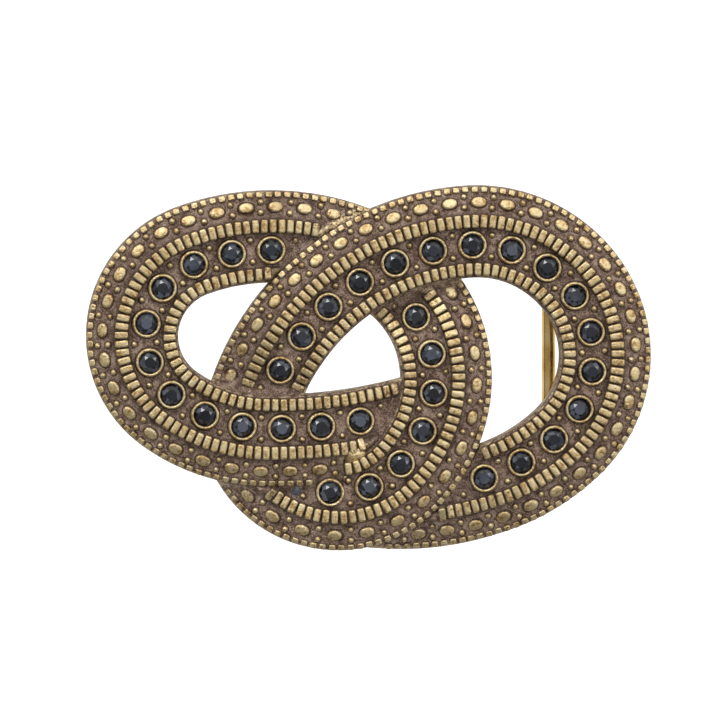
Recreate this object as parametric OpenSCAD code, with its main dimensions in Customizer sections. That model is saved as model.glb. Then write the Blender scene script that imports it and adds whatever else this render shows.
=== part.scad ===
// Belt buckle: three ornamented strands laid over and under each other in an
// alternating knot, cast in one piece, with a glass stone glued into each cup,
// a wire bail that swings on two lugs at the back, and a pressed-in stud.
// The front faces -Y, +Z is up, and the origin is the middle of the whole buckle.

/* [Knot] */
// Length of the buckle, rim to rim
knot_len = 90; // [78:1:108]
// Slope at which a strand dives under the one that crosses it, in degrees
dive_angle = 12; // [8:0.5:14]
// Length of the sloping stretch at each end of a strand
dive_len = 9; // [8:0.5:10]
// Length of the low stretch that runs on under the crossing strand
under_len = 10; // [9:0.5:11]

/* [Band] */
// Distance from the line of stones to the outer rim
rim_out = 9.3; // [8.6:0.1:10]
// Distance from the line of stones to the inner edge
edge_in = 5.2; // [4.8:0.1:6.2]
// Width of the toothed ridge outside the stones
outer_ridge_w = 2.1; // [1.4:0.1:2.6]
// Width of the toothed ridge inside the stones
inner_ridge_w = 1.9; // [1.2:0.1:2.2]
// Half-width of the channel that the stones stand in
channel_half = 2.8; // [2.5:0.1:3]
// Height of the outer rim above the back
rim_h = 2.4; // [2:0.1:2.8]
// Height of the border where it meets the outer ridge
border_h = 3.4; // [3:0.1:3.8]
// Height of the two toothed ridges
ridge_h = 4.6; // [4.2:0.1:5.5]
// Height of the channel floor
floor_h = 3.2; // [3:0.1:3.5]
// Draft of the ridges' sides, top to bottom
draft = 0.15; // [0:0.05:0.3]

/* [Stones] */
// Diameter of a stone at its girdle
stone_d = 3.4; // [2.8:0.1:3.9]
// Clearance between a stone and its cup, all round
stone_clear = 0.04; // [0.02:0.01:0.1]
// Wall of a cup round its stone
cup_wall = 0.55; // [0.4:0.05:0.65]
// Height of the cups above the back
cup_h = 4.2; // [3.9:0.1:4.6]
// Depth of the seat inside a cup
seat_depth = 1.2; // [1:0.1:1.5]
// Height that a stone's table stands above its cup
table_proud = 0.15; // [0:0.05:0.3]

/* [Bail] */
// Diameter of the bail's wire
wire_d = 2.2; // [1.8:0.1:2.6]
// Distance from the hinge line to the free bar, centre to centre
bail_reach = 9; // [8:0.5:11]
// Gap between the free bar and the opening's edge, seen from the front
bar_gap = 0.5; // [0.2:0.1:1.5]
// Radius of the wire's bends, at its centre line
bend_r = 2.5; // [2.2:0.1:3]
// Clearance between the wire and a lug's bore, all round
hinge_clear = 0.05; // [0.02:0.01:0.1]
// Gap between the bail and the buckle's back
back_gap = 0.4; // [0.2:0.1:0.8]
// Thickness of a lug along the hinge line
lug_t = 4; // [3:0.5:5]
// Wall of a lug round its bore
lug_wall = 1.3; // [1:0.1:1.8]
// Distance that a lug sits inside the line of stones
lug_inset = 2.3; // [1.8:0.1:2.6]
// Gap between a lug and the start of the wire's bend
lug_gap = 0.4; // [0.2:0.1:0.8]

/* [Stud] */
// Diameter of the stud that holds the strap
stud_d = 4.2; // [3.6:0.1:4.8]
// Length of the stud above its boss
stud_len = 6.8; // [5.5:0.1:8]
// Angle at which the stud leans outwards, in degrees
stud_lean = 12; // [0:1:15]
// Diameter of the shank pressed into the boss
shank_d = 3; // [2.4:0.1:3.2]
// Depth of the shank's bore below the boss's face
shank_depth = 2.6; // [2:0.1:2.8]
// Diameter of the boss round the stud
boss_d = 7.4; // [6.4:0.1:8.4]
// Height of the boss above the buckle's back
boss_h = 1.1; // [0.8:0.1:1.5]
// Distance of the stud outside the line of stones
stud_out = 1.5; // [0.5:0.1:2]

/* [Hidden] */
$fn = 96;

// Each strand is laid out at a nominal size as a chain of arcs that all turn left.
// [start x, start y, heading, [[radius, angle] ...],
//  first stone's station, stone pitch, number of stones,
//  radius of the run-in that dives under the crossing strand, and how much longer it is]
// Stations are lengths along the line of stones, counted from the start.
left_ring = [-18.06, 18.88, 184.48, [[34.59, 15.64], [12.37, 124.32], [24.74, 34.14], [80.49, 8.53]],
    -2.65, 6.265, 12, 34.59, 0];
right_ring = [22.31, -16.07, 24.35, [[30.04, 19.6], [17.05, 85.67], [19.07, 54.5], [36.56, 50.6]],
    -3.9, 6.354, 16, 40, 5.5];
middle_loop = [-3.05, -19.65, 7.2, [[12.8, 36.8], [21, 33], [18.5, 27]], -2.9, 6.29, 7, 12.8, 0];
nominal = [left_ring, right_ring, middle_loop];
// One more seat at the start of the middle loop is cast shallow and holds no stone
blank_station = -8.5;
blank_shift = 1.5;
blank_depth = 0.3;

// The pose after an arc: [x, y, heading]
function turn(p, r, a) = [
    p.x + r * (sin(p[2] + a) - sin(p[2])),
    p.y - r * (cos(p[2] + a) - cos(p[2])),
    p[2] + a
];
function walk(p, arcs, n) =
    n == 0 ? p : let (q = walk(p, arcs, n - 1), arc = arcs[n - 1]) turn(q, arc[0], arc[1]);
function arc_len(arc) = arc[0] * arc[1] * PI / 180;
function sum(list, n) = n == 0 ? 0 : list[n - 1] + sum(list, n - 1);
function start_of(s) = [s[0], s[1], s[2]];
function arcs_of(s) = s[3];
function length_of(s) = sum([for (arc = arcs_of(s)) arc_len(arc)], len(arcs_of(s)));
function end_of(s) = walk(start_of(s), arcs_of(s), len(arcs_of(s)));
function first_r(s) = s[7];
function last_r(s) = arcs_of(s)[len(arcs_of(s)) - 1][0];
function station_pose(p, arcs, d, i = 0) =
    d <= arc_len(arcs[i]) || i == len(arcs) - 1
        ? turn(p, arcs[i][0], d / arcs[i][0] * 180 / PI)
        : station_pose(turn(p, arcs[i][0], arcs[i][1]), arcs, d - arc_len(arcs[i]), i + 1);

// Points of a strand's line moved outwards by a distance, one every few degrees
function side(s, out) = [
    for (i = [0 : len(arcs_of(s)) - 1])
        let (p = walk(start_of(s), arcs_of(s), i), arc = arcs_of(s)[i])
            for (a = [0 : arc[1] / 40 : arc[1]])
                let (q = turn(p, arc[0], a)) [q.x + out * sin(q[2]), q.y - out * cos(q[2])]
];
function every(strands, out) = [for (s = strands) each side(s, out)];
function low(points, k) = min([for (p = points) p[k]]);
function high(points, k) = max([for (p = points) p[k]]);

// The layout is scaled so that the rim-to-rim length comes out as asked
plain = every(nominal, 0);
grow = (knot_len - 2 * rim_out) / (high(plain, 0) - low(plain, 0));
function grown(s) = [
    s[0] * grow, s[1] * grow, s[2], [for (arc = s[3]) [arc[0] * grow, arc[1]]],
    s[4] * grow, s[5] * grow, s[6], s[7] * grow, s[8] * grow
];
strands = [for (s = nominal) grown(s)];
rim = every(strands, rim_out);
mid_x = (low(rim, 0) + high(rim, 0)) / 2;
mid_y = (low(rim, 1) + high(rim, 1)) / 2;

// Band section: distance outwards from the line of stones, height above the back.
// The section can be drawn a hair slimmer, so that one stretch ends inside the next.
rim_bevel = 0.3;
inner_drop = 0.2;
below = 0.5;
function band(s) = let (
    ridge = channel_half + outer_ridge_w,
    outer_top = ridge_h - s,
    inner_top = ridge_h - inner_drop - s
) [
    [rim_out - s, -below], [rim_out - s, rim_h - rim_bevel - s], [rim_out - rim_bevel - s, rim_h - s],
    [ridge + 2 * draft - s, border_h - s], [ridge + draft - s, outer_top],
    [channel_half + draft + s, outer_top], [channel_half + s, floor_h - s],
    [-channel_half - s, floor_h - s], [-channel_half - draft - s, inner_top],
    [-channel_half - inner_ridge_w + s, inner_top],
    [-edge_in + s, border_h - s], [-edge_in + s, -below]
];
slim = 0.04;
slope_slim = 0.15;
low_slim = 0.3;
run_in = 0.4;
slope_run_in = 0.2;
low_run_in = 4;
dive_run = dive_len * cos(dive_angle);
dive_drop = dive_len * sin(dive_angle);
function micron(v) = round(v * 1000) / 1000;

cup_r = stone_d / 2 + stone_clear + cup_wall;
seat_r = stone_d / 2 + stone_clear;
seat_floor = cup_h - seat_depth;
cup_root = 2;
girdle_h = 0.3;
crown_h = 0.5;
table_r = stone_d / 2 * 0.62;
culet_r = stone_d / 2 * 0.5;
stone_top = cup_h + table_proud;

// Bail: the free bar stands just inside the right opening's far edge
wire_r = wire_d / 2;
ring = strands[1];
opening_edge = high(side(ring, -edge_in), 0);
bar_x = micron(opening_edge - bar_gap - wire_r);
hinge_x = bar_x - bail_reach;
hinge_z = -wire_r - back_gap;
function arc_centre(p, r) = [p.x - r * sin(p[2]), p.y + r * cos(p[2])];
function height_on(s, i, x, up) =
    let (r = arcs_of(s)[i][0], c = arc_centre(walk(start_of(s), arcs_of(s), i), r))
        c.y + up * sqrt(r * r - (x - c.x) * (x - c.x));
// The ring's third arc passes over the hinge line, and its lead-in passes under it
lug_top = micron(height_on(ring, 2, hinge_x, 1) - lug_inset);
lug_low = micron(height_on(ring, 0, hinge_x, -1) + lug_inset);
arm_top = lug_top + lug_t / 2 + lug_gap + bend_r;
arm_low = lug_low - lug_t / 2 - lug_gap - bend_r;
bail_mid = micron((arm_top + arm_low) / 2);
lug_r = wire_r + hinge_clear + lug_wall;

// Stud: behind the left ring, level with the middle of the bail
left_gem = low(side(strands[0], 0), 0);
stud_x = left_gem - stud_out;
stud_y = bail_mid;
stud_r = stud_d / 2;
stud_tip = 1.2;
stud_flat_r = 0.6 * stud_r;
stud_round_r = 0.88 * stud_r;
boss_root = 1.8;
stud_reach = (boss_h + stud_len) * cos(stud_lean) + stud_flat_r * sin(stud_lean);
mid_z = (ridge_h - stud_reach) / 2;

stone_total = sum([for (s = strands) s[6]], len(strands));
function two(n) = str(n < 10 ? "0" : "", n);
STONES = [for (i = [1 : stone_total]) str("stone_", two(i))];

// Turns the flat layout upright, front towards -Y, with the buckle's middle at the origin
module upright() {
    rotate([90, 0, 0]) translate([-mid_x, -mid_y, -mid_z]) children();
}

module at(p) {
    translate([p.x, p.y, 0]) rotate([0, 0, p[2]]) children();
}

// A strand's slope turns about its top edge, so that the joint leaves no wedge open
module sloped(a) {
    translate([0, 0, ridge_h]) rotate([0, a, 0]) translate([0, 0, -ridge_h]) children();
}

// Places children on a strand's line, x along it and y inwards, at a station
module on_strand(s, d) {
    over = d - length_of(s);
    if (d < 0)
        at(start_of(s)) sloped(-dive_angle)
            at(turn([0, 0, 0], first_r(s), d / first_r(s) * 180 / PI)) children();
    else if (over > 0)
        at(end_of(s)) sloped(dive_angle)
            at(turn([0, 0, 0], last_r(s), over / last_r(s) * 180 / PI)) children();
    else
        at(station_pose(start_of(s), arcs_of(s), d)) children();
}

// A stretch of band from one station to another, on an arc that starts at the origin
module bend(r, from, to, slimmer) {
    degrees = 180 / PI / r;
    translate([0, r, 0]) rotate([0, 0, from * degrees - 90])
        rotate_extrude(angle = (to - from) * degrees) translate([r, 0]) polygon(band(slimmer));
}

// Every other stretch is slim and runs on into its neighbours
module strand(s) {
    for (i = [0 : len(arcs_of(s)) - 1]) {
        arc = arcs_of(s)[i];
        odd = i % 2;
        extra = odd * run_in;
        before = extra;
        after = i == len(arcs_of(s)) - 1 ? 0 : extra;
        at(walk(start_of(s), arcs_of(s), i))
            bend(arc[0], -before, arc_len(arc) + after, odd * slim);
    }
    at(start_of(s)) {
        sloped(-dive_angle) bend(first_r(s), -dive_len, slope_run_in, slope_slim);
        translate([0, 0, -dive_drop])
            bend(first_r(s), -dive_run - under_len - s[8], low_run_in - dive_run, low_slim);
    }
    at(end_of(s)) {
        sloped(dive_angle) bend(last_r(s), -slope_run_in, dive_len, slope_slim);
        translate([0, 0, -dive_drop])
            bend(last_r(s), dive_run - low_run_in, dive_run + under_len, low_slim);
    }
}

function stone_station(s, i) = s[4] + i * s[5];

module in_each_cup() {
    for (s = strands) for (i = [0 : s[6] - 1]) on_strand(s, stone_station(s, i)) children();
}

module front_half() {
    translate([-knot_len, -knot_len, 0]) cube([3 * knot_len, 2 * knot_len, 2 * ridge_h]);
}

module lug(y) {
    translate([hinge_x, y + lug_t / 2, hinge_z]) rotate([90, 0, 0]) cylinder(r = lug_r, h = lug_t);
    translate([hinge_x - lug_r, y - lug_t / 2, hinge_z])
        cube([2 * lug_r, lug_t, floor_h / 2 - hinge_z]);
}

module lug_bore(y) {
    translate([hinge_x, y + lug_t, hinge_z])
        rotate([90, 0, 0]) cylinder(r = wire_r + hinge_clear, h = 2 * lug_t);
}

// Stands children on the stud's boss, z pointing away from the buckle's back
module on_boss() {
    translate([stud_x, stud_y, 0]) rotate([0, 180 + stud_lean, 0])
        translate([0, 0, boss_h]) children();
}

module knot_casting() {
    color("#8a6f3c") upright() difference() {
        union() {
            intersection() {
                for (s = strands) strand(s);
                front_half();
            }
            in_each_cup() translate([0, 0, cup_root]) cylinder(r = cup_r, h = cup_h - cup_root);
            lug(lug_top);
            lug(lug_low);
            on_boss() translate([0, 0, -boss_h - boss_root])
                cylinder(d = boss_d, h = boss_h + boss_root);
        }
        in_each_cup() translate([0, 0, seat_floor]) cylinder(r = seat_r, h = ridge_h);
        on_strand(strands[2], blank_station)
            translate([0, -blank_shift, floor_h - blank_depth]) cylinder(r = seat_r, h = ridge_h);
        lug_bore(lug_top);
        lug_bore(lug_low);
        on_boss() translate([0, 0, -shank_depth]) cylinder(d = shank_d, h = shank_depth + ridge_h);
    }
}

// A glass stone: flat culet on the seat's floor, girdle in the cup, table on top
module stone() {
    color("#15171c") rotate_extrude() polygon([
        [0, seat_floor], [culet_r, seat_floor],
        [stone_d / 2, stone_top - crown_h - girdle_h], [stone_d / 2, stone_top - crown_h],
        [table_r, stone_top], [0, stone_top]
    ]);
}

module wire(length) {
    rotate([-90, 0, 0]) cylinder(r = wire_r, h = length);
}

module wire_bend(from) {
    rotate([0, 0, from]) rotate_extrude(angle = 90) translate([bend_r, 0]) circle(r = wire_r);
}

// One end of the bail above the middle of its free bar: half the bar, an arm and a hinge end
module bail_half(arm, lug_y) {
    half = arm - bail_mid - bend_r;
    end_len = arm - bend_r - (lug_y - lug_t / 2);
    translate([bar_x, bail_mid, hinge_z]) wire(half);
    translate([bar_x - bend_r, arm - bend_r, hinge_z]) wire_bend(0);
    translate([hinge_x + bend_r, arm, hinge_z]) rotate([0, 0, -90])
        wire(bail_reach - 2 * bend_r);
    translate([hinge_x + bend_r, arm - bend_r, hinge_z]) wire_bend(90);
    translate([hinge_x, arm - bend_r - end_len, hinge_z]) wire(end_len);
}

module bail() {
    color("#c79a45") upright() {
        bail_half(arm_top, lug_top);
        translate([0, 2 * bail_mid, 0]) mirror([0, 1, 0])
            bail_half(2 * bail_mid - arm_low, 2 * bail_mid - lug_low);
    }
}

module belt_stud() {
    color("#b58d3f") upright() on_boss() rotate_extrude() polygon([
        [0, -shank_depth], [shank_d / 2, -shank_depth], [shank_d / 2, 0], [stud_r, 0],
        [stud_r, stud_len - stud_tip], [stud_round_r, stud_len - stud_tip / 2],
        [stud_flat_r, stud_len], [0, stud_len]
    ]);
}

// The stone with the given number, counted along the strands in turn
module numbered_stone(n, k = 0) {
    s = strands[k];
    if (n <= s[6]) upright() on_strand(s, stone_station(s, n - 1)) stone();
    else numbered_stone(n - s[6], k + 1);
}

knot_casting();
bail();
belt_stud();
for (i = [1 : stone_total]) {
    numbered_stone(i);
}
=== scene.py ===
"""Knot belt buckle: detailed relief, stones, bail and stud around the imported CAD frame.

Lengths in the design section are in millimetres, as in the CAD source. The layout lies flat with x to the
right, y up and z towards the front, and upright() turns it into the row frame, whose front faces -Y.
"""
import math
import random

import bpy
import numpy as np
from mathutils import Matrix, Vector


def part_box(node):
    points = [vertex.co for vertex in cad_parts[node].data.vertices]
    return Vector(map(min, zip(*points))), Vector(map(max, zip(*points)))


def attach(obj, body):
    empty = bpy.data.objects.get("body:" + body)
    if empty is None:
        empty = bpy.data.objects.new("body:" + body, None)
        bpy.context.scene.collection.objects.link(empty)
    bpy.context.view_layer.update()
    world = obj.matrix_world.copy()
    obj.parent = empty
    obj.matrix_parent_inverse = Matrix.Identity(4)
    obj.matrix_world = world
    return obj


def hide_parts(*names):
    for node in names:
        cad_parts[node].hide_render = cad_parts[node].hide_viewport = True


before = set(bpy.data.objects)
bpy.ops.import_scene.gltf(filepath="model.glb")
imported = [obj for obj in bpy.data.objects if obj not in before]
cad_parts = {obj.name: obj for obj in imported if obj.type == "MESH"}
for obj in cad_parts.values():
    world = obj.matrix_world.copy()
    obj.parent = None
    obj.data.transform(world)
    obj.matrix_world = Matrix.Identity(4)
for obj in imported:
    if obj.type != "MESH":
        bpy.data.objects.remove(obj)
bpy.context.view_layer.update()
MM = 0.001
rng = random.Random(11)

# ---------------------------------------------------------------- design, as in the CAD source
KNOT_LEN = 90.0
RIM_OUT = 9.3
EDGE_IN = 5.2
OUTER_RIDGE_W = 2.1
INNER_RIDGE_W = 1.9
CHANNEL_HALF = 2.8
RIM_H = 2.4
BORDER_H = 3.4
RIDGE_H = 4.6
FLOOR_H = 3.2
CUP_H = 4.2
TABLE_PROUD = 0.15
STONE_D = 3.4
DIVE_DROP = 1.87
DIVE_LEN = 9.0
UNDER_LEN = 10.0
WIRE_R = 1.1
BACK_GAP = 0.4
LUG_T = 4.0
LUG_R = 2.45
LUG_INSET = 2.3
BAIL_REACH = 9.0
BAR_GAP = 0.5
STUD_R = 2.1
STUD_LEN = 6.8
STUD_LEAN = math.radians(12)
BOSS_H = 1.1
STUD_OUT = 1.5

# start (x, y, heading), arcs of (radius, angle), first stone's station, stone pitch, stones,
# run-in radius, run-in length
LAYOUT = {
    "left_ring": ((-18.06, 18.88, 184.48), ((34.59, 15.64), (12.37, 124.32), (24.74, 34.14), (80.49, 8.53)),
                  -2.65, 6.265, 12, 34.59, 10),
    "right_ring": ((22.31, -16.07, 24.35), ((30.04, 19.6), (17.05, 85.67), (19.07, 54.5), (36.56, 50.6)),
                   -3.9, 6.354, 16, 40, 15.5),
    "middle_loop": ((-3.05, -19.65, 7.2), ((12.8, 36.8), (21, 33), (18.5, 27)), -2.9, 6.29, 7, 12.8, 10),
}
BLANK_STATION = -8.5
BLANK_SHIFT = 1.5
# strand: (strand it starts under, that one's side it meets), (strand it ends under, side)
CROSSINGS = {
    "left_ring": (("right_ring", "rim"), ("middle_loop", "edge")),
    "right_ring": (("middle_loop", "rim"), ("left_ring", "edge")),
    "middle_loop": (("left_ring", "rim"), ("right_ring", "edge")),
}


def smooth(x, lo, hi):
    t = np.clip((x - lo) / (hi - lo), 0.0, 1.0)
    return t * t * (3.0 - 2.0 * t)


def blend_max(a, b, k):
    """The larger of two heights, rounded over where they are within k of each other."""
    h = np.clip(k - np.abs(a - b), 0.0, None) / k
    return np.maximum(a, b) + h * h * k * 0.25


def blend_min(a, b, k):
    return -blend_max(-a, -b, k)


class Strand:
    """A band's line of stones: a chain of arcs that turn left, run on at both ends."""

    def __init__(self, name, grow):
        start, arcs, first, pitch, count, lead, run_in = LAYOUT[name]
        self.name = name
        self.first = first * grow
        self.pitch = pitch * grow
        self.count = count
        self.lead = lead * grow
        self.run_in = run_in * grow
        self.arcs = []
        x, y, h = start[0] * grow, start[1] * grow, math.radians(start[2])
        s = 0.0
        for r, a in arcs:
            r, a = r * grow, math.radians(a)
            self.arcs.append((s, s + r * a, x, y, h, r))
            x += r * (math.sin(h + a) - math.sin(h))
            y -= r * (math.cos(h + a) - math.cos(h))
            s, h = s + r * a, h + a
        self.length = s

    def pose(self, s):
        """x, y, heading and radius at stations s, along the first and last arc beyond the ends."""
        s = np.asarray(s, float)
        x, y, h, r = (np.zeros_like(s) for _ in range(4))
        for i, (s0, s1, x0, y0, h0, r0) in enumerate(self.arcs):
            use = (s >= s0 if i else s > -1e9) & (s <= s1 if i < len(self.arcs) - 1 else s < 1e9)
            bend = np.where(s < 0, self.lead, r0)
            turn = (s - s0) / bend
            x = np.where(use, x0 + bend * (np.sin(h0 + turn) - np.sin(h0)), x)
            y = np.where(use, y0 - bend * (np.cos(h0 + turn) - np.cos(h0)), y)
            h = np.where(use, h0 + turn, h)
            r = np.where(use, bend, r)
        return x, y, h, r

    def point(self, s, out):
        x, y, h, _ = self.pose(s)
        return x + out * np.sin(h), y - out * np.cos(h)

    def row_station(self, out, pitch, phase=0.5):
        """Stations of a row's repeats, evenly spaced along the row itself."""
        s = np.linspace(-DIVE_LEN - self.run_in, self.length + DIVE_LEN + UNDER_LEN, 4000)
        r = self.pose(s)[3]
        steps = np.diff(s) * (1.0 + out / r[:-1])
        along = np.concatenate([[0.0], np.cumsum(steps)])
        along -= np.interp(-DIVE_LEN - UNDER_LEN, s, along)
        k = np.arange(math.ceil(along[0] / pitch - phase), math.floor(along[-1] / pitch - phase) + 1)
        return np.interp((k + phase) * pitch, along, s)

    def across(self, x, y):
        """Distance outwards from the line of stones, or a large number off the strand's ends."""
        best = np.full(np.shape(x), 99.0)
        for s0, s1, x0, y0, h0, r0 in self.arcs:
            cx, cy = x0 - r0 * math.sin(h0), y0 + r0 * math.cos(h0)
            turn = (np.arctan2(y - cy, x - cx) - (h0 - math.pi / 2)) % (2 * math.pi)
            inside = (turn <= (s1 - s0) / r0 + 0.001) | (turn > 2 * math.pi - 0.001)
            out = np.hypot(x - cx, y - cy) - r0
            best = np.where(inside & (np.abs(out) < np.abs(best)), out, best)
        return best


def side_line(strand, out):
    return np.array(strand.point(np.linspace(0, strand.length, 400), out))


def layout():
    plain = [Strand(n, 1.0) for n in LAYOUT]
    xs = np.concatenate([side_line(s, 0)[0] for s in plain])
    grow = (KNOT_LEN - 2 * RIM_OUT) / (xs.max() - xs.min())
    strands = {n: Strand(n, grow) for n in LAYOUT}
    rim = np.concatenate([side_line(s, RIM_OUT) for s in strands.values()], axis=1)
    return strands, (rim[0].max() + rim[0].min()) / 2, (rim[1].max() + rim[1].min()) / 2


STRANDS, MID_X, MID_Y = layout()
CAST_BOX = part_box("knot_casting")
FRONT_Y = CAST_BOX[0][1]
BACK_Y = FRONT_Y + RIDGE_H * MM


def upright(p):
    """Layout points in millimetres, as row-frame points in metres."""
    p = np.asarray(p, float)
    return np.stack([(p[..., 0] - MID_X) * MM, BACK_Y - p[..., 2] * MM, (p[..., 1] - MID_Y) * MM], -1)


# ---------------------------------------------------------------- surface heights of a band
def crossing_gap(strand, s, x, y):
    """How far a point is outside the strand that crosses over here, and that strand's edge height."""
    before, after = CROSSINGS[strand.name]
    early = s < strand.length / 2
    gap, edge = np.full(np.shape(x), 99.0), np.full(np.shape(x), RIM_H)
    for (other, side), use in ((before, early), (after, ~early)):
        out = STRANDS[other].across(x, y)
        far = np.where(np.abs(out) > 60, 99.0, np.maximum(out - RIM_OUT, -EDGE_IN - out))
        gap = np.where(use, far, gap)
        edge = np.where(use, RIM_H if side == "rim" else BORDER_H - 0.2, edge)
    return gap, edge


def drop(strand, s):
    past = np.maximum(-s, s - strand.length)
    return DIVE_DROP * smooth(past, -1.0, DIVE_LEN + 1.5)


RIDGE_OUT = CHANNEL_HALF + OUTER_RIDGE_W
RIDGE_IN = CHANNEL_HALF + INNER_RIDGE_W
WEB_OUT = 3.9
WEB_IN = 3.75
PROFILE = (
    (-EDGE_IN, 3.15), (-EDGE_IN + 0.25, 3.45), (-RIDGE_IN - 0.05, 3.5), (-RIDGE_IN + 0.2, WEB_IN),
    (-CHANNEL_HALF - 0.2, WEB_IN), (-CHANNEL_HALF + 0.05, FLOOR_H), (CHANNEL_HALF - 0.05, FLOOR_H),
    (CHANNEL_HALF + 0.2, WEB_OUT), (RIDGE_OUT - 0.1, WEB_OUT), (RIDGE_OUT + 0.2, BORDER_H),
    (RIM_OUT - 0.9, RIM_H + 0.2), (RIM_OUT - 0.25, RIM_H + 0.05), (RIM_OUT, RIM_H - 0.3),
)


def band_height(strand, s, out):
    """Height of the band's plain surface above the back, under its teeth, beads and ovals."""
    x, y = strand.point(s, out)
    gap, edge = crossing_gap(strand, s, x, y)
    h = np.interp(out, [p[0] for p in PROFILE], [p[1] for p in PROFILE])
    pad = 1.0 - smooth(gap, 0.9, 1.3)
    on_outer = smooth(out, CHANNEL_HALF, CHANNEL_HALF + 0.3)
    on_outer = on_outer * (1 - smooth(out, RIDGE_OUT - 0.1, RIDGE_OUT + 0.3))
    on_inner = smooth(-out, CHANNEL_HALF, CHANNEL_HALF + 0.3)
    on_inner = on_inner * (1 - smooth(-out, RIDGE_IN - 0.1, RIDGE_IN + 0.3))
    h = h + pad * (on_outer * (RIDGE_H - 0.1 - WEB_OUT) + on_inner * (RIDGE_H - 0.3 - WEB_IN))
    h = h - drop(strand, s)
    ramp = edge - 0.25 - np.clip(gap, 0, None) * 0.75
    h = np.where(gap < 6, blend_max(h, ramp, 0.5), h)
    cap = edge - 0.15 + np.clip(gap, -0.5, None) * 1.3
    h = np.where(gap < 2, blend_min(h, cap, 0.3), h)
    h = np.where(gap < 0, np.minimum(h, edge - 0.3 + np.clip(gap, -1.5, 0) * 0.9), h)
    return np.maximum(h, 0.45)


# ---------------------------------------------------------------- mesh helpers
class Shape:
    """Collects vertices, faces and per-vertex wear and painted crevice shade for one piece."""

    def __init__(self):
        self.verts, self.faces, self.wear, self.painted_crevice_shade = [], [], [], []
        self.count = 0

    def add(self, verts, faces, wear, painted_crevice_shade):
        self.verts.append(np.asarray(verts, float))
        faces = faces.tolist() if isinstance(faces, np.ndarray) else faces
        self.faces += [[i + self.count for i in face] for face in faces]
        self.wear.append(np.asarray(wear, float))
        self.painted_crevice_shade.append(np.asarray(painted_crevice_shade, float))
        self.count += len(verts)

    def piece(self, name, material, slot="antique_brass"):
        verts = upright(np.concatenate(self.verts))
        mesh = bpy.data.meshes.new(name)
        mesh.from_pydata(verts.tolist(), [], self.faces)
        for label, values in (("wear", self.wear), ("painted_crevice_shade", self.painted_crevice_shade)):
            layer = mesh.attributes.new(label, "FLOAT", "POINT")
            layer.data.foreach_set("value", np.concatenate(values).astype(np.float32))
        mesh.validate()
        mesh.polygons.foreach_set("use_smooth", [True] * len(mesh.polygons))
        mesh.materials.append(material)
        obj = bpy.data.objects.new(name, mesh)
        bpy.context.scene.collection.objects.link(obj)
        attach(obj, "buckle")
        return obj


def quads(rows, cols, closed_rows=False, closed_cols=False, flip=False):
    """Quads over a grid of rows by cols vertices."""
    i = np.arange(rows if closed_rows else rows - 1)
    j = np.arange(cols if closed_cols else cols - 1)
    a, b = np.meshgrid(i, j, indexing="ij")
    a, b = a.ravel(), b.ravel()
    a2, b2 = (a + 1) % rows, (b + 1) % cols
    f = np.stack([a * cols + b, a * cols + b2, a2 * cols + b2, a2 * cols + b], 1)
    return f[:, ::-1] if flip else f


def dome(a, b, height, power, segs, steps):
    """A raised form with a superellipse outline: rings of (scale, height share, wear, painted crevice
    shade), top first.
    """
    t = np.arange(segs) / segs * 2 * math.pi
    c, s = np.cos(t), np.sin(t)
    px = a * np.sign(c) * np.abs(c) ** (2 / power)
    py = b * np.sign(s) * np.abs(s) ** (2 / power)
    verts, wear, painted_crevice_shade = [[0, 0, height * steps[0][1]]], [steps[0][2]], [steps[0][3]]
    small = min(a, b)
    for scale, up, w, g in steps[1:]:
        grow = (scale - 1) * small
        verts += [[x * (a + grow) / a, y * (b + grow) / b, height * up] for x, y in zip(px, py)]
        wear += [w] * segs
        painted_crevice_shade += [g] * segs
    rings = len(steps) - 1
    fan = [[0, 1 + j, 1 + (j + 1) % segs] for j in range(segs)]
    side = (quads(rings, segs, closed_cols=True, flip=True) + 1).tolist()
    low = 1 + (rings - 1) * segs
    verts.append([0, 0, height * steps[-1][1]])
    wear.append(0.0)
    painted_crevice_shade.append(1.0)
    base = [[len(verts) - 1, low + (j + 1) % segs, low + j] for j in range(segs)]
    return np.array(verts), fan + side + base, np.array(wear), np.array(painted_crevice_shade)


# Rings of the raised forms, top first; the last column is painted crevice shade, darkest on the flange at
# the foot.
SOFT_TOP = (
    (0, 1.0, 1.0, 0), (0.45, 0.985, 1.0, 0), (0.72, 0.93, 0.97, 0), (0.88, 0.8, 0.85, 0),
    (0.98, 0.52, 0.55, 0.1), (1.03, 0.2, 0.2, 0.6), (1.12, 0.02, 0.0, 1.0), (1.32, -0.06, 0.0, 0.75),
    (1.38, -0.5, 0, 0.6),
)
TOOTH_TOP = (
    (0, 1.0, 1.0, 0), (0.5, 0.995, 1.0, 0), (0.78, 0.97, 1.0, 0), (0.91, 0.88, 0.92, 0),
    (0.98, 0.62, 0.6, 0.05), (1.02, 0.3, 0.25, 0.5), (1.07, 0.02, 0.05, 0.9), (1.16, -0.06, 0.0, 0.6),
    (1.2, -0.5, 0, 0.5),
)
ROUND_TOP = (
    (0, 1.0, 1.0, 0), (0.35, 0.94, 1.0, 0), (0.62, 0.78, 0.9, 0), (0.82, 0.55, 0.7, 0.05),
    (0.95, 0.3, 0.4, 0.3), (1.05, 0.05, 0.1, 0.9), (1.3, -0.06, 0.0, 0.8), (1.38, -0.5, 0, 0.6),
)


STEEPEST = 0.45


def height_at(strand, s, out):
    return float(band_height(strand, np.array(s), np.array(out)))


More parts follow.
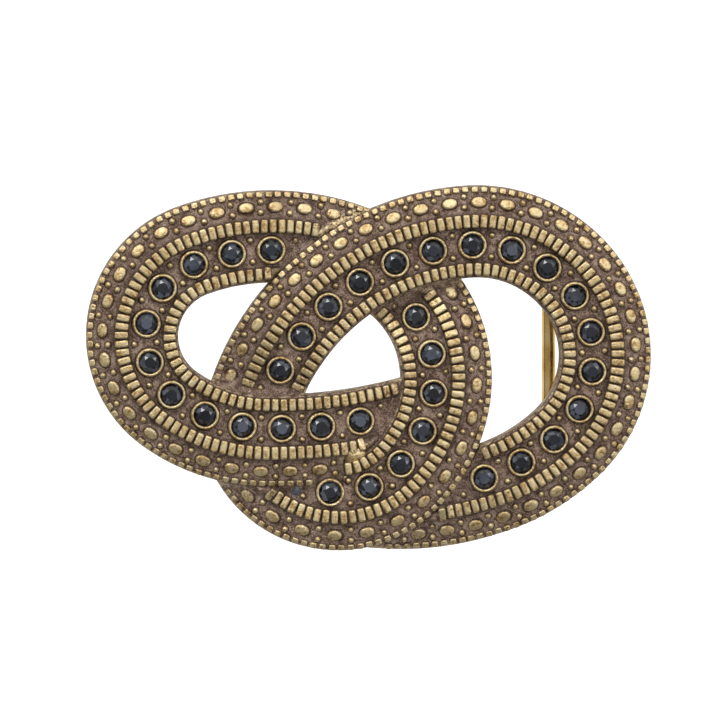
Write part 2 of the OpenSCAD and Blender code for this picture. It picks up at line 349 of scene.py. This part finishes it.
def place(shape, form, strand, s, out, spin=0.0, size=1.0, fade=1.0):
    """Stands a form on a band's surface, tilted with the surface across and along the band."""
    verts, faces, wear, painted_crevice_shade = form
    x, y = strand.point(s, out)
    h = strand.pose(s)[2]
    d = 0.25
    z = height_at(strand, s, out)
    across = (height_at(strand, s, out + d) - height_at(strand, s, out - d)) / (2 * d)
    across = max(-STEEPEST, min(STEEPEST, across))
    along = float(drop(strand, np.array(s - d)) - drop(strand, np.array(s + d))) / (2 * d)
    v = verts * [size, size, 1.0]
    c, w = math.cos(spin), math.sin(spin)
    v = np.stack([v[:, 0] * c - v[:, 1] * w, v[:, 0] * w + v[:, 1] * c, v[:, 2]], 1)
    up = Vector((-along, -across, 1)).normalized()
    ahead = Vector((1, 0, along)).normalized()
    outward = -up.cross(ahead)
    local = v[:, :1] * np.array(ahead) + v[:, 1:2] * np.array(outward) + v[:, 2:] * np.array(up)
    ch, sh = math.cos(float(h)), math.sin(float(h))
    wx = float(x) + local[:, 0] * ch + local[:, 1] * sh
    wy = float(y) + local[:, 0] * sh - local[:, 1] * ch
    height = np.minimum(z + local[:, 2], RIDGE_H + 0.1)
    shape.add(np.stack([wx, wy, height], 1), [f[::-1] for f in faces], wear * fade, painted_crevice_shade)


def gap_at(strand, s, out):
    x, y = strand.point(np.array(s), np.array(out))
    return float(crossing_gap(strand, np.array(s), x, y)[0])


def near_other_stone(strand, s, out):
    x, y = (float(v) for v in strand.point(np.array(s), np.array(out)))
    for other in STRANDS.values():
        if other is strand:
            continue
        for i in range(other.count):
            sx, sy = (float(v) for v in other.point(np.array(other.first + i * other.pitch), np.array(0.0)))
            if math.hypot(x - sx, y - sy) < 2.9:
                return True
    return False


# ---------------------------------------------------------------- materials
def new_material(name):
    m = bpy.data.materials.new(name)
    m.use_nodes = True
    nodes, links = m.node_tree.nodes, m.node_tree.links
    nodes.clear()
    out = nodes.new("ShaderNodeOutputMaterial")
    shader = nodes.new("ShaderNodeBsdfPrincipled")
    links.new(shader.outputs[0], out.inputs[0])
    return m, nodes, links, shader


def ramp(nodes, stops):
    r = nodes.new("ShaderNodeValToRGB")
    while len(r.color_ramp.elements) < len(stops):
        r.color_ramp.elements.new(0.5)
    for e, (at, colour) in zip(r.color_ramp.elements, stops):
        e.position = at
        e.color = (*colour, 1) if len(colour) == 3 else colour
    return r


def noise(nodes, links, coords, scale, detail=3.0, rough=0.55):
    n = nodes.new("ShaderNodeTexNoise")
    n.inputs["Scale"].default_value = scale
    n.inputs["Detail"].default_value = detail
    n.inputs["Roughness"].default_value = rough
    links.new(coords, n.inputs["Vector"])
    return n.outputs["Fac"]


def math_node(nodes, links, op, a, b=None, c=None):
    n = nodes.new("ShaderNodeMath")
    n.operation = op
    for socket, v in zip(n.inputs, (a, b, c)):
        if v is None:
            continue
        if isinstance(v, (int, float)):
            socket.default_value = v
        else:
            links.new(v, socket)
    return n.outputs[0]


def mix_colour(nodes, links, fac, a, b, mode="MIX"):
    n = nodes.new("ShaderNodeMix")
    n.data_type = "RGBA"
    n.blend_type = mode
    links.new(fac, n.inputs["Factor"])
    for socket, v in ((n.inputs["A"], a), (n.inputs["B"], b)):
        if isinstance(v, tuple):
            socket.default_value = (*v, 1)
        else:
            links.new(v, socket)
    return n.outputs["Result"]


def attribute(nodes, name):
    n = nodes.new("ShaderNodeAttribute")
    n.attribute_name = name
    return n.outputs["Fac"]


def antique_brass(name):
    """Brass with a dark granular patina in its recesses and rubbed, pale raised work."""
    m, nodes, links, shader = new_material(name)
    coords = nodes.new("ShaderNodeTexCoord").outputs["Object"]
    broad = noise(nodes, links, coords, 160, 3)
    blotch = noise(nodes, links, coords, 900, 3)
    fleck = noise(nodes, links, coords, 2600, 2)
    grain = noise(nodes, links, coords, 5200, 2)
    wear, painted_crevice_shade = attribute(nodes, "wear"), attribute(nodes, "painted_crevice_shade")
    shift = math_node(nodes, links, "MULTIPLY_ADD", blotch, 0.6, -0.86)
    shift = math_node(nodes, links, "MULTIPLY_ADD", fleck, 1.0, shift)
    worn = math_node(nodes, links, "ADD", wear, shift)
    worn = ramp_value(nodes, links, worn, 0.18, 0.72)
    # the plain back was never rubbed or brushed into recesses, so its finish is even and cloudy
    facing = nodes.new("ShaderNodeSeparateXYZ")
    links.new(nodes["Texture Coordinate"].outputs["Normal"], facing.inputs[0])
    rear = ramp_value(nodes, links, facing.outputs["Y"], 0.5, 0.9)
    even = math_node(nodes, links, "MULTIPLY_ADD", wear, 0.5, -0.2)
    even = math_node(nodes, links, "MULTIPLY_ADD", broad, 0.9, even)
    worn = math_node(nodes, links, "MULTIPLY_ADD", math_node(nodes, links, "SUBTRACT", even, worn),
                     math_node(nodes, links, "MULTIPLY", rear, 0.75), worn)
    patina = ramp(nodes, [
        (0.36, (0.042, 0.02, 0.015)), (0.5, (0.145, 0.091, 0.064)), (0.63, (0.30, 0.225, 0.175)),
    ])
    depth = math_node(nodes, links, "MULTIPLY_ADD", grain, 0.75, -0.14)
    links.new(math_node(nodes, links, "MULTIPLY_ADD", blotch, 0.55, depth), patina.inputs[0])
    brass = ramp(nodes, [
        (0.34, (0.31, 0.195, 0.075)), (0.5, (0.575, 0.445, 0.235)), (0.66, (0.585, 0.51, 0.32)),
    ])
    shine = math_node(nodes, links, "MULTIPLY_ADD", fleck, 0.7, -0.22)
    links.new(math_node(nodes, links, "MULTIPLY_ADD", blotch, 0.75, shine), brass.inputs[0])
    colour = mix_colour(nodes, links, worn, patina.outputs[0], brass.outputs[0])
    tint = ramp(nodes, [(0.35, (0.84, 0.80, 0.76)), (0.6, (1.0, 1.0, 1.0))])
    links.new(broad, tint.inputs[0])
    full = nodes.new("ShaderNodeValue")
    full.outputs[0].default_value = 1.0
    colour = mix_colour(nodes, links, full.outputs[0], colour, tint.outputs[0], "MULTIPLY")
    # Painted crevice shade: the per-vertex shade attribute, broken up by noise, mixes in a near-black brown.
    painted_shade = math_node(nodes, links, "MULTIPLY_ADD", blotch, 0.6, 0.55)
    painted_shade = math_node(nodes, links, "MULTIPLY", painted_crevice_shade, painted_shade)
    painted_shade = math_node(nodes, links, "MINIMUM", painted_shade, 0.92)
    colour = mix_colour(nodes, links, painted_shade, colour, (0.03, 0.014, 0.008))
    links.new(colour, shader.inputs["Base Color"])
    links.new(math_node(nodes, links, "MULTIPLY_ADD", worn, 0.4, 0.55), shader.inputs["Metallic"])
    rough = math_node(nodes, links, "MULTIPLY_ADD", worn, -0.2, 0.62)
    rough = math_node(nodes, links, "MULTIPLY_ADD", fleck, 0.1, rough)
    links.new(rough, shader.inputs["Roughness"])
    height = math_node(nodes, links, "MULTIPLY_ADD", worn, -0.6, 1.0)
    height = math_node(nodes, links, "MULTIPLY", grain, height)
    height = math_node(nodes, links, "MULTIPLY_ADD", fleck, 0.5, height)
    bump = nodes.new("ShaderNodeBump")
    bump.inputs["Strength"].default_value = 0.85
    bump.inputs["Distance"].default_value = 0.00016
    links.new(height, bump.inputs["Height"])
    links.new(bump.outputs[0], shader.inputs["Normal"])
    return m


def ramp_value(nodes, links, value, lo, hi):
    n = nodes.new("ShaderNodeMapRange")
    n.interpolation_type = "SMOOTHSTEP"
    links.new(value, n.inputs["Value"])
    n.inputs["From Min"].default_value = lo
    n.inputs["From Max"].default_value = hi
    return n.outputs["Result"]


def polished_brass():
    """Drawn brass wire, polished, with faint lengthwise draw marks and tarnish."""
    m, nodes, links, shader = new_material("polished_brass")
    coords = nodes.new("ShaderNodeTexCoord").outputs["Object"]
    stretch = nodes.new("ShaderNodeMapping")
    stretch.inputs["Scale"].default_value = (1, 1, 0.06)
    links.new(coords, stretch.inputs["Vector"])
    draw = noise(nodes, links, stretch.outputs[0], 3500, 3)
    cloud = noise(nodes, links, coords, 220, 4)
    colour = ramp(nodes, [(0.3, (0.46, 0.27, 0.07)), (0.5, (0.74, 0.50, 0.18)), (0.75, (0.86, 0.66, 0.32))])
    links.new(cloud, colour.inputs[0])
    links.new(colour.outputs[0], shader.inputs["Base Color"])
    shader.inputs["Metallic"].default_value = 1.0
    links.new(math_node(nodes, links, "MULTIPLY_ADD", cloud, 0.14, 0.13), shader.inputs["Roughness"])
    bump = nodes.new("ShaderNodeBump")
    bump.inputs["Strength"].default_value = 0.18
    bump.inputs["Distance"].default_value = 0.00004
    links.new(draw, bump.inputs["Height"])
    links.new(bump.outputs[0], shader.inputs["Normal"])
    return m


def black_glass():
    m, nodes, links, shader = new_material("black_glass")
    coords = nodes.new("ShaderNodeTexCoord").outputs["Object"]
    smear = noise(nodes, links, coords, 700, 3)
    # Painted reflection: each facet's random brightness, up to a bluish grey, stands in for facets that
    # catch different reflections; smear noise breaks it up.
    facet_sheen = math_node(nodes, links, "MULTIPLY_ADD", smear, 0.4, attribute(nodes, "facet_sheen"))
    tint = ramp(nodes, [
        (0.2, (0.002, 0.0025, 0.004)), (0.7, (0.012, 0.014, 0.020)), (1.0, (0.040, 0.046, 0.060)),
    ])
    links.new(facet_sheen, tint.inputs[0])
    links.new(tint.outputs[0], shader.inputs["Base Color"])
    links.new(math_node(nodes, links, "MULTIPLY_ADD", smear, 0.10, 0.02), shader.inputs["Roughness"])
    shader.inputs["IOR"].default_value = 1.6
    return m


def old_glue():
    m, nodes, links, shader = new_material("old_glue")
    coords = nodes.new("ShaderNodeTexCoord").outputs["Object"]
    cloud = noise(nodes, links, coords, 1500, 4)
    tint = ramp(nodes, [(0.35, (0.03, 0.034, 0.04)), (0.65, (0.085, 0.095, 0.11))])
    links.new(cloud, tint.inputs[0])
    links.new(tint.outputs[0], shader.inputs["Base Color"])
    shader.inputs["Roughness"].default_value = 0.55
    return m


CAST = antique_brass("antique_brass")
WIRE = polished_brass()
GLASS = black_glass()
GLUE = old_glue()


# ---------------------------------------------------------------- bands
def columns():
    """Places across the band, close together where its section bends."""
    marks = [p[0] for p in PROFILE]
    out = set()
    for a, b in zip(marks, marks[1:]):
        n = max(1, round((b - a) / 0.24))
        out.update(a + (b - a) * k / n for k in range(n + 1))
    return sorted(out)


def band(name, strand, level):
    """One strand as a closed band with its section swept along the line of stones."""
    shape = Shape()
    cols = columns()
    before = DIVE_LEN + strand.run_in - 0.4
    after = DIVE_LEN + UNDER_LEN - 0.4
    rows = round((strand.length + before + after) / 0.28)
    s = np.linspace(-before, strand.length + after, rows)
    top_s, top_o = np.meshgrid(s, cols, indexing="ij")
    z = band_height(strand, top_s, top_o)
    x, y = strand.point(top_s, top_o)
    gap, _ = crossing_gap(strand, top_s, x, y)
    back = np.linspace(RIM_OUT + 0.12, -EDGE_IN - 0.1, 10)
    bx, by = strand.point(*np.meshgrid(s, back, indexing="ij"))
    xs = np.concatenate([x, bx], 1)
    ys = np.concatenate([y, by], 1)
    zs = np.concatenate([z, np.full_like(bx, level)], 1)
    ring = xs.shape[1]
    verts = np.stack([xs, ys, zs], -1).reshape(-1, 3)
    faces = quads(rows, ring, closed_cols=True)
    last = (rows - 1) * ring
    centre = verts.reshape(rows, ring, 3).mean(axis=1)
    verts = np.concatenate([verts, centre[[0, -1]]])
    cap0 = [[rows * ring, (j + 1) % ring, j] for j in range(ring)]
    cap1 = [[rows * ring + 1, last + j, last + (j + 1) % ring] for j in range(ring)]
    near = 1 - smooth(gap, 0.8, 1.7)
    # Crossing pads are paler: a base of wear plus painted light from above, stronger towards the top of the
    # buckle.
    wear_and_top_light = 0.22 + 0.3 * smooth(y, MID_Y + 8, MID_Y + 18)
    plateau = np.where(np.abs(top_o) > CHANNEL_HALF, wear_and_top_light, 0.05)
    wear = near * plateau * smooth(gap, -0.2, 0.25)
    wear += 0.30 * (top_o > RIM_OUT - 0.3) + 0.35 * (top_o < -EDGE_IN + 0.3)
    # Painted shade: darker at the foot of both channel walls, beside the outer ridge and on the ridges
    # between the teeth, faded out where the band runs under another.
    dark = 0.65 * np.exp(-((top_o - CHANNEL_HALF) / 0.22) ** 2)
    dark += 0.65 * np.exp(-((top_o + CHANNEL_HALF) / 0.22) ** 2)
    dark += 0.5 * np.exp(-((top_o - RIDGE_OUT - 0.2) / 0.2) ** 2)
    on_outer = np.abs(top_o - (CHANNEL_HALF + RIDGE_OUT) / 2) < 1.1
    on_inner = np.abs(top_o + (CHANNEL_HALF + RIDGE_IN) / 2) < 1.0
    in_ridge = on_outer | on_inner
    dark = np.where(in_ridge & (gap > 1.2), 0.7, dark * smooth(gap, 0.0, 0.6))
    if name == "left_ring":
        # metal run together where this band's outer teeth meet the middle loop's inner ones
        merged = np.exp(-((top_s - 64.6) / 2.2) ** 4 - ((top_o - 5.4) / 2.4) ** 4)
        wear, dark = wear + 0.75 * merged, dark * (1 - merged)
    side_wear = np.full_like(bx, 0.3)
    side_wear[:, 0] = side_wear[:, -1] = 0.42
    wear = np.concatenate([wear, side_wear], 1).ravel()
    painted_crevice_shade = np.concatenate([dark, np.zeros_like(bx)], 1).ravel()
    wear = np.concatenate([wear, [0.3, 0.3]])
    painted_crevice_shade = np.concatenate([painted_crevice_shade, [0.3, 0.3]])
    shape.add(verts, faces.tolist() + cap0 + cap1, wear, painted_crevice_shade)
    return shape.piece(name + "_band", CAST)


# ---------------------------------------------------------------- raised work
# rows of raised work: distance outwards from the line of stones, and pitch along the row
RIM_ROW = (RIM_OUT - 0.55, 1.49)
OUTER_ROW = (CHANNEL_HALF + OUTER_RIDGE_W / 2, 1.38)
INNER_ROW = (-CHANNEL_HALF - INNER_RIDGE_W / 2 - 0.05, 1.38)
OVAL_LINE = 6.8
OVAL_PITCH = {"left_ring": 4.7, "right_ring": 4.65, "middle_loop": 5.2}
BEAD_OUT = 0.85


def jitter(amount):
    return rng.uniform(-amount, amount)


def relief(name, strand):
    """Rim beads, ovals, bead pairs, both rows of teeth and the channel's beads of one strand."""
    shape = Shape()
    rim = dome(0.54, 0.47, 0.5, 4.2, 20, TOOTH_TOP)
    outer_tooth = dome(0.56, 1.06, 0.8, 5.5, 32, TOOTH_TOP)
    inner_tooth = dome(0.555, 0.99, 0.8, 5.5, 32, TOOTH_TOP)
    oval = dome(1.2, 0.86, 0.55, 2.15, 32, SOFT_TOP)
    bead = dome(0.52, 0.52, 0.58, 2.0, 18, ROUND_TOP)
    oval_row = (OVAL_LINE, OVAL_PITCH[strand.name])
    rows = (
        (rim, RIM_ROW, 0, 0, 0.5, 0.03),
        (outer_tooth, OUTER_ROW, 0, 0, 0.8, 0.02),
        (inner_tooth, INNER_ROW, 0, 0, 0.8, 0.02),
        (oval, oval_row, 0, 0, 0.35, 0.03),
        (bead, oval_row, BEAD_OUT, 0.5, 0.5, 0.06),
        (bead, oval_row, -BEAD_OUT, 0.5, 0.5, 0.06),
    )
    for form, (line, pitch), aside, late, clear, vary in rows:
        out = line + aside
        for s in strand.row_station(line, pitch, late):
            gap = gap_at(strand, s, out)
            if gap < clear or near_other_stone(strand, s, out):
                continue
            fade = 0.6 + 0.4 * float(smooth(np.array(gap), clear, 6.0))
            place(shape, form, strand, s + jitter(vary), out + jitter(vary),
                  jitter(0.05), 1 + jitter(vary), fade)
    for i in range(strand.count - 1):
        s = strand.first + (i + 0.5) * strand.pitch
        for out in (1.78, -1.78):
            if gap_at(strand, s, out) > 0.4:
                place(shape, bead, strand, s + jitter(0.25), out + jitter(0.08), 0, 1 + jitter(0.05))
    for s in (strand.first - 0.6 * strand.pitch, strand.first + (strand.count - 0.4) * strand.pitch):
        for out in (1.7, -1.7):
            if gap_at(strand, s, out) > 0.6:
                place(shape, bead, strand, s, out, 0, 0.95, 0.7)
    shape.piece(name + "_relief", CAST)


def merged_corner():
    """Metal run together where the left ring's outer teeth meet the middle loop's inner ones."""
    strand, s, out = STRANDS["left_ring"], 64.9, 5.4
    rise = RIDGE_H - 0.4 - height_at(strand, s, out)
    top = (
        (0, 1.0, 0.85, 0), (0.5, 0.97, 0.8, 0), (0.8, 0.8, 0.7, 0),
        (0.95, 0.5, 0.6, 0), (1.05, 0.1, 0.5, 0.1), (1.1, -0.5, 0, 0.3),
    )
    shape = Shape()
    place(shape, dome(1.7, 1.4, rise, 2.8, 40, top), strand, s, out)
    shape.piece("merged_corner", CAST)


def set_out(at, axes, verts):
    """Vertices given along three axes from a point, as layout points."""
    return np.array(at) + sum(verts[:, k:k + 1] * np.array(axis) for k, axis in enumerate(axes))


def lathe(profile, segs):
    """A closed ring or a solid of revolution from (radius, height, wear, painted crevice shade) points."""
    t = np.arange(segs) / segs * 2 * math.pi
    verts, wear, painted_crevice_shade = [], [], []
    for r, z, w, g in profile:
        verts += [[r * math.cos(a), r * math.sin(a), z] for a in t]
        wear += [w] * segs
        painted_crevice_shade += [g] * segs
    return np.array(verts), wear, painted_crevice_shade


SEAT_TILT = 0.3
# Painted crevice shade darkens the cup's foot on the channel floor and the low inside of its wall.
CUP_PROFILE = (
    (2.46, -0.8, 0, 0.7), (2.46, 0.02, 0.0, 0.8), (2.35, 0.10, 0.1, 1.0), (2.30, 0.32, 0.35, 0.4),
    (2.28, 0.72, 0.8, 0), (2.20, 0.90, 1.0, 0), (2.08, 0.98, 1.0, 0),
    (1.93, 0.98, 0.95, 0), (1.83, 0.90, 0.8, 0), (1.77, 0.72, 0.45, 0.3),
    (1.74, 0.30, 0.2, 0.8), (1.74, -0.8, 0, 1.0),
)


def stone_frame(strand, i):
    """Origin on the channel floor and the three axes of a stone's seat."""
    s = strand.first + i * strand.pitch
    x, y, h, _ = (float(v) for v in strand.pose(np.array(s)))
    low = float(drop(strand, np.array(s)))
    along = SEAT_TILT * float(drop(strand, np.array(s - 0.5)) - drop(strand, np.array(s + 0.5)))
    ahead = Vector((math.cos(h), math.sin(h), along)).normalized()
    outward = Vector((math.sin(h), -math.cos(h), 0))
    up = -ahead.cross(outward)
    return Vector((x, y, FLOOR_H - low)), ahead, outward, up


def cups(name, strand):
    shape = Shape()
    segs = 48
    for i in range(strand.count):
        at, ahead, outward, up = stone_frame(strand, i)
        verts, wear, painted_crevice_shade = lathe(CUP_PROFILE, segs)
        verts = verts * [1 + jitter(0.01), 1 + jitter(0.01), 1]
        world = set_out(at, (ahead, outward, up), verts)
        faces = quads(len(CUP_PROFILE), segs, closed_rows=True, closed_cols=True)
        shape.add(world, faces, wear, painted_crevice_shade)
    shape.piece(name + "_cups", CAST)


def facets():
    """A round brilliant-cut crown over a plain girdle and a cone: verts and flat faces."""
    r = STONE_D / 2
    rows = [
        (8, 0.0, r * 0.52, 1.0), (8, 0.5, r * 0.78, 0.60), (16, 0.0, r, 0.0), (16, 0.0, r, -0.3),
    ]
    verts, start = [], []
    for n, turn, radius, up in rows:
        start.append(len(verts))
        angles = [2 * math.pi * (k + turn) / n for k in range(n)]
        verts += [(radius * math.cos(a), radius * math.sin(a), up) for a in angles]
    table, star, girdle, skirt = start
    faces = [[table + k for k in range(8)]]
    for k in range(8):
        k2 = (k + 1) % 8
        g0, g1, g2 = girdle + 2 * k, girdle + 2 * k + 1, girdle + (2 * k + 2) % 16
        prev = star + (k - 1) % 8
        faces.append([table + k, star + k, table + k2])
        faces.append([table + k, prev, g0, star + k])
        faces.append([star + k, g0, g1])
        faces.append([star + k, g1, g2])
    for k in range(16):
        k2 = (k + 1) % 16
        faces.append([girdle + k, skirt + k, skirt + k2, girdle + k2])
    verts.append((0, 0, -0.85))
    for k in range(16):
        faces.append([skirt + k, len(verts) - 1, skirt + (k + 1) % 16])
    return verts, faces


def stones():
    verts, faces = facets()
    number = 0
    crown = 0.62
    girdle_z = CUP_H - FLOOR_H + TABLE_PROUD - crown
    for strand in STRANDS.values():
        for i in range(strand.count):
            number += 1
            at, ahead, outward, up = stone_frame(strand, i)
            spin = rng.uniform(0, math.pi / 4)
            tip, lean = rng.uniform(0, 2 * math.pi), abs(rng.gauss(0, math.radians(2.2)))
            mesh = bpy.data.meshes.new(f"stone_{number:02d}_cut")
            points = []
            for x, y, z in verts:
                z = z * crown if z > 0 else z
                x, y = x * math.cos(spin) - y * math.sin(spin), x * math.sin(spin) + y * math.cos(spin)
                z += (x * math.cos(tip) + y * math.sin(tip)) * math.tan(lean)
                points.append(at + ahead * x + outward * y + up * (z + girdle_z))
            mesh.from_pydata(upright([tuple(p) for p in points]).tolist(), [], [f[::-1] for f in faces])
            # Painted reflection: a random brightness for each facet.
            facet_sheen = mesh.attributes.new("facet_sheen", "FLOAT", "FACE")
            facet_sheen.data.foreach_set("value", [rng.random() ** 2 for _ in faces])
            mesh.materials.append(GLASS)
            obj = bpy.data.objects.new(f"stone_{number:02d}_cut", mesh)
            bpy.context.scene.collection.objects.link(obj)
            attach(obj, "buckle")
            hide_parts(f"stone_{number:02d}")


def blank_seat():
    """Dull glue left in the shallow seat that was cast without a cup."""
    strand = STRANDS["middle_loop"]
    top = ((0, 1, 0, 0), (0.6, 0.95, 0, 0), (0.9, 0.7, 0, 0), (1.0, 0.1, 0, 0), (1.02, -3, 0, 0))
    form = dome(1.05, 1.0, 0.1, 2.1, 28, top)
    shape = Shape()
    place(shape, form, strand, BLANK_STATION + 0.3, BLANK_SHIFT)
    shape.piece("blank_seat_glue", GLUE)


# ---------------------------------------------------------------- back hardware
def lug_piece(name, y_mid, hinge_x, hinge_z):
    """A cast ear with a rounded end and the bore that the bail's end turns in."""
    shape = Shape()
    segs = 64
    t = np.arange(segs) / segs * 2 * math.pi
    foot = -hinge_z + 0.4
    c, s = np.cos(t), np.sin(t)
    square = np.minimum(LUG_R / np.maximum(np.abs(c), 1e-6), foot / np.maximum(s, 1e-6))
    reach = np.where(s < 0, LUG_R, square)
    bore = WIRE_R + 0.05
    half = LUG_T / 2
    soft = 0.18
    loops = [
        (bore, -half + soft), (bore + soft, -half), (None, -half), (0, -half + soft), (0, half - soft),
        (None, half), (bore + soft, half), (bore, half - soft),
    ]
    verts, wear, painted_crevice_shade = [], [], []
    for r, y in loops:
        rad = reach - soft if r is None else (reach if r == 0 else np.full(segs, r))
        verts += [[hinge_x + rad[k] * c[k], y_mid + y, hinge_z + rad[k] * s[k]] for k in range(segs)]
        wear += [0.75 if r is None else (0.5 if r == 0 else 0.2)] * segs
        # Painted shade inside the bore.
        painted_crevice_shade += [0.0 if not r else 0.6] * segs
    faces = quads(len(loops), segs, closed_rows=True, closed_cols=True, flip=True)
    shape.add(verts, faces, wear, painted_crevice_shade)
    return shape.piece(name, CAST)


def turned(name, profile, at, axis, material, slot, node=None, segs=64):
    """A solid of revolution about an axis through a layout point, closed at both ends."""
    verts, wear, painted_crevice_shade = lathe(profile, segs)
    up = Vector(axis).normalized()
    side = up.orthogonal().normalized()
    other = up.cross(side)
    world = set_out(at, (side, other, up), verts)
    n = len(profile)
    faces = quads(n, segs, closed_cols=True).tolist()
    ends = np.array([world[:segs].mean(axis=0), world[-segs:].mean(axis=0)])
    world = np.concatenate([world, ends])
    faces += [[n * segs, (j + 1) % segs, j] for j in range(segs)]
    faces += [[n * segs + 1, (n - 1) * segs + j, (n - 1) * segs + (j + 1) % segs] for j in range(segs)]
    shape = Shape()
    shape.add(world, faces, wear + [profile[0][2], profile[-1][2]], painted_crevice_shade + [0, 0])
    piece = shape.piece(name, material, slot=slot)
    if node:
        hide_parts(node)
    return piece


def hardware():
    ring = STRANDS["right_ring"]
    edge = np.max(ring.point(np.linspace(0, ring.length, 800), -EDGE_IN)[0])
    hinge_x = edge - BAR_GAP - WIRE_R - BAIL_REACH
    hinge_z = -WIRE_R - BACK_GAP
    bail_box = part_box("bail")
    mid_y = (bail_box[0][2] + bail_box[1][2]) / 2 / MM + MID_Y
    lugs = []
    for label, arc, up in (("upper_lug", 2, 1), ("lower_lug", 0, -1)):
        _, _, x0, y0, h0, r0 = ring.arcs[arc]
        cx, cy = x0 - r0 * math.sin(h0), y0 + r0 * math.cos(h0)
        y = cy + up * math.sqrt(r0 ** 2 - (hinge_x - cx) ** 2) - up * LUG_INSET
        lugs.append(lug_piece(label, y, hinge_x, hinge_z))
    left = np.min(STRANDS["left_ring"].point(np.linspace(0, STRANDS["left_ring"].length, 800), 0)[0])
    axis = (-math.sin(STUD_LEAN), 0, -math.cos(STUD_LEAN))
    base = Vector((left - STUD_OUT, mid_y, 0))
    face = base + Vector(axis) * BOSS_H
    boss = (
        # Rows of radius, height, wear and painted crevice shade: the boss and the stud are shaded where they
        # meet the back and each other.
        (4.4, -2.2, 0.2, 0.2), (4.3, -1.35, 0.2, 0.5), (3.95, -0.95, 0.3, 0.4), (3.74, -0.45, 0.5, 0.1),
        (3.66, -0.12, 0.8, 0), (3.5, 0.0, 0.85, 0), (2.5, 0.0, 0.5, 0.2), (2.0, -0.05, 0.2, 0.9),
    )
    turned("stud_boss", boss, face, axis, CAST, "antique_brass")
    stud = (
        (1.5, -0.6, 0.2, 1), (STUD_R - 0.15, 0.0, 0.3, 0.8), (STUD_R, 0.16, 0.6, 0.2), (STUD_R, 1.2, 0.7, 0),
        (STUD_R, STUD_LEN - 1.3, 0.9, 0), (STUD_R - 0.05, STUD_LEN - 0.95, 1, 0),
        (STUD_R * 0.9, STUD_LEN - 0.58, 1, 0), (STUD_R * 0.74, STUD_LEN - 0.25, 1, 0),
        (STUD_R * 0.5, STUD_LEN - 0.06, 1, 0), (STUD_R * 0.2, STUD_LEN, 1, 0),
    )
    turned("belt_stud_turned", stud, face, axis, CAST, "stud_brass", "belt_stud")


# ---------------------------------------------------------------- stage, light and camera
def stage():
    mesh = bpy.data.meshes.new("floor")
    size, low = 40.0, -0.30
    corners = [(-size, -size, low), (size, -size, low), (size, size, low), (-size, size, low)]
    mesh.from_pydata(corners, [], [(0, 1, 2, 3)])
    m, nodes, links, shader = new_material("pale_floor")
    cloud = noise(nodes, links, nodes.new("ShaderNodeTexCoord").outputs["Object"], 0.6, 2)
    paper = ramp(nodes, [(0.3, (0.92, 0.92, 0.92)), (0.7, (0.94, 0.94, 0.94))])
    links.new(cloud, paper.inputs[0])
    links.new(paper.outputs[0], shader.inputs["Base Color"])
    shader.inputs["Roughness"].default_value = 0.9
    shader.inputs["Emission Color"].default_value = (1, 1, 1, 1)
    shader.inputs["Emission Strength"].default_value = 0.35
    mesh.materials.append(m)
    floor = bpy.data.objects.new("floor", mesh)
    bpy.context.scene.collection.objects.link(floor)
    floor.visible_glossy = False


def world_light():
    """A studio room: bright above and at eye level, dark below."""
    world = bpy.data.worlds.new("studio")
    bpy.context.scene.world = world
    world.use_nodes = True
    nodes, links = world.node_tree.nodes, world.node_tree.links
    background = nodes["Background"]
    coords = nodes.new("ShaderNodeTexCoord")
    split = nodes.new("ShaderNodeSeparateXYZ")
    links.new(coords.outputs["Generated"], split.inputs[0])
    up = math_node(nodes, links, "MULTIPLY_ADD", split.outputs["Z"], 0.5, 0.5)
    greys = ((0.0, 0.10), (0.38, 0.25), (0.50, 0.42), (0.62, 0.80), (0.8, 1.05))
    front = ramp(nodes, [(at, (grey,) * 3) for at, grey in greys])
    links.new(up, front.inputs[0])
    behind = ramp_value(nodes, links, split.outputs["Y"], -0.35, 0.25)
    shade = mix_colour(nodes, links, behind, front.outputs[0], (1.0, 1.0, 1.0))
    links.new(shade, background.inputs["Color"])
    background.inputs["Strength"].default_value = 1.0


def area_light(name, place_at, size, power, target=(0, 0, 0)):
    light = bpy.data.lights.new(name, "AREA")
    light.size = size
    light.energy = power
    obj = bpy.data.objects.new(name, light)
    obj.location = place_at
    obj.rotation_euler = (Vector(target) - Vector(place_at)).to_track_quat("-Z", "Y").to_euler()
    bpy.context.scene.collection.objects.link(obj)


def camera():
    """A long lens a little above and to the left, framed as a catalogue picture."""
    view_width = 0.1129
    distance = 1.2
    azimuth, elevation = math.radians(-3), math.radians(3.5)
    right, down = 2.40 * MM, 2.22 * MM
    cam = bpy.data.cameras.new("camera")
    cam.sensor_width = 36
    cam.lens = 36 * distance / view_width
    cam.clip_end = 200
    obj = bpy.data.objects.new("camera", cam)
    front = Vector((0, FRONT_Y + 0.002, 0))
    aim = front + Vector((-right, 0, down))
    level = math.cos(elevation)
    back = Vector((math.sin(azimuth) * level, -math.cos(azimuth) * level, math.sin(elevation)))
    obj.location = aim + back * distance
    obj.rotation_euler = (-back).to_track_quat("-Z", "Y").to_euler()
    bpy.context.scene.collection.objects.link(obj)
    bpy.context.scene.camera = obj


camera()
for level, (label, ring) in enumerate(STRANDS.items()):
    body_piece = band(label, ring, 0.02 * level)
    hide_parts("knot_casting")
    relief(label, ring)
    cups(label, ring)
merged_corner()
stones()
blank_seat()
hardware()
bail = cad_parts["bail"]
bail.data.materials.clear()
bail.data.materials.append(WIRE)
stage()
world_light()
area_light("key", (-0.35, -0.7, 0.75), 0.5, 8.0)
area_light("fill", (0.6, -0.8, 0.25), 0.6, 4.0)
bpy.context.scene.view_settings.view_transform = "Standard"
